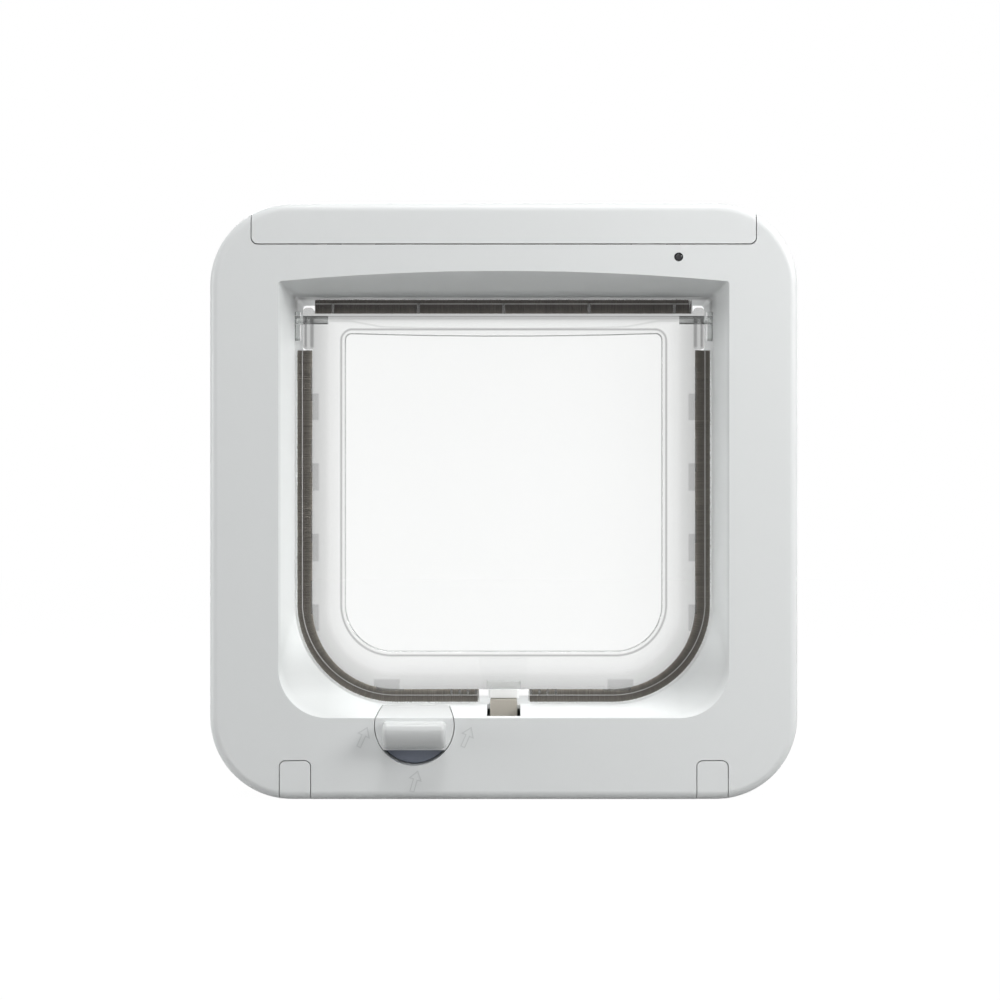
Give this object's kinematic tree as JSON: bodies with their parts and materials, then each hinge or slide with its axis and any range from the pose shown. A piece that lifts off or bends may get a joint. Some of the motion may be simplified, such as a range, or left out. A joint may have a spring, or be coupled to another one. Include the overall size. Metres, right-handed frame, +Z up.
{
  "type": "cat flap",
  "caption": "White cat flap for a door with a clear swinging flap, brush seal, rotary lock and battery compartment, and an outer frame joined by a short tunnel.",
  "frame": {"origin": "middle of the tunnel in the plane where the room-side housing meets the door", "axes": "+X to the right seen from the room, +Y from the room to the garden, +Z up"},
  "size_m": [0.21, 0.082, 0.213],
  "materials": {
    "white_plastic": "satin",
    "clear_plastic": "gloss",
    "brush_pile": "matte",
    "beige_plastic": "satin",
    "grey_plastic": "satin",
    "steel": "satin",
    "copper": "satin",
    "board_green": "satin",
    "cell_wrap": "gloss",
    "magnet_grey": "satin",
    "smoked_lens": "gloss"
  },
  "bodies": {
    "frame": {"front_bezel": "white_plastic", "rear_housing": "white_plastic", "tunnel_liner": "white_plastic", "exterior_frame": "white_plastic", "hinge_bush_left": "clear_plastic", "hinge_bush_right": "clear_plastic", "latch_carrier": "grey_plastic", "catch_motor": "steel", "battery_tray": "grey_plastic", "circuit_board": "board_green", "status_light": "smoked_lens", "antenna_coil": "copper", "sill_magnet": "magnet_grey", "battery_cell_1": "cell_wrap", "battery_cell_2": "cell_wrap", "battery_cell_3": "cell_wrap", "battery_cell_4": "cell_wrap", "outer_contact_left": "steel", "inner_contact_left": "steel", "outer_contact_right": "steel", "inner_contact_right": "steel", "fixing_screws": "steel", "case_screws": "steel", "board_screws": "steel"},
    "flap": {"flap_pane": "clear_plastic", "seal_left": "brush_pile", "seal_right": "brush_pile", "seal_top": "brush_pile", "striker_block": "white_plastic", "flap_magnet": "magnet_grey", "hinge_pin_left": "clear_plastic", "hinge_pin_right": "clear_plastic"},
    "knob": {"lock_knob": "white_plastic", "knob_grip": "grey_plastic", "lock_pinion": "grey_plastic"},
    "slider": {"lock_slider": "grey_plastic"},
    "inner_latch_blade": {"inner_latch": "beige_plastic"},
    "outer_latch_blade": {"outer_latch": "beige_plastic"},
    "cover": {"battery_cover": "white_plastic"},
    "left_plug": {"screw_cover_left": "white_plastic"},
    "right_plug": {"screw_cover_right": "white_plastic"},
    "button": {"learn_button": "grey_plastic"}
  },
  "joints": [
    {"name": "flap_swing", "type": "hinge", "parent": "frame", "child": "flap", "pos_m": [0, -0.013, 0.066], "axis": [1, 0, 0], "range_deg": [-80, 80]},
    {"name": "knob_turn", "type": "hinge", "parent": "frame", "child": "knob", "pos_m": [-0.0319, 0, -0.08], "axis": [0, 1, 0], "range_deg": [-90, 90]},
    {"name": "slider_shift", "type": "slide", "parent": "frame", "child": "slider", "axis": [-1, 0, 0], "range_m": [-0.00503, 0.00503]},
    {"name": "inner_latch_lift", "type": "slide", "parent": "frame", "child": "inner_latch_blade", "axis": [0, 0, 1], "range_m": [-0.00503, 0.00503]},
    {"name": "outer_latch_drop", "type": "slide", "parent": "frame", "child": "outer_latch_blade", "axis": [0, 0, -1], "range_m": [-0.00503, 0.00503]},
    {"name": "cover_lift", "type": "slide", "parent": "frame", "child": "cover", "axis": [0, 0, 1], "range_m": [0, 0.025]},
    {"name": "left_plug_pull", "type": "slide", "parent": "frame", "child": "left_plug", "axis": [0, -1, 0], "range_m": [0, 0.012]},
    {"name": "right_plug_pull", "type": "slide", "parent": "frame", "child": "right_plug", "axis": [0, -1, 0], "range_m": [0, 0.012]},
    {"name": "button_press", "type": "slide", "parent": "frame", "child": "button", "axis": [0, 1, 0], "range_m": [0, 0.001], "stiffness_N_per_m": 400}
  ],
  "couplings": [
    {"joint": "slider_shift", "follows": "knob_turn", "m_per_rad": 0.0032},
    {"joint": "inner_latch_lift", "follows": "knob_turn", "m_per_rad": 0.0032},
    {"joint": "outer_latch_drop", "follows": "knob_turn", "m_per_rad": 0.0032}
  ]
}
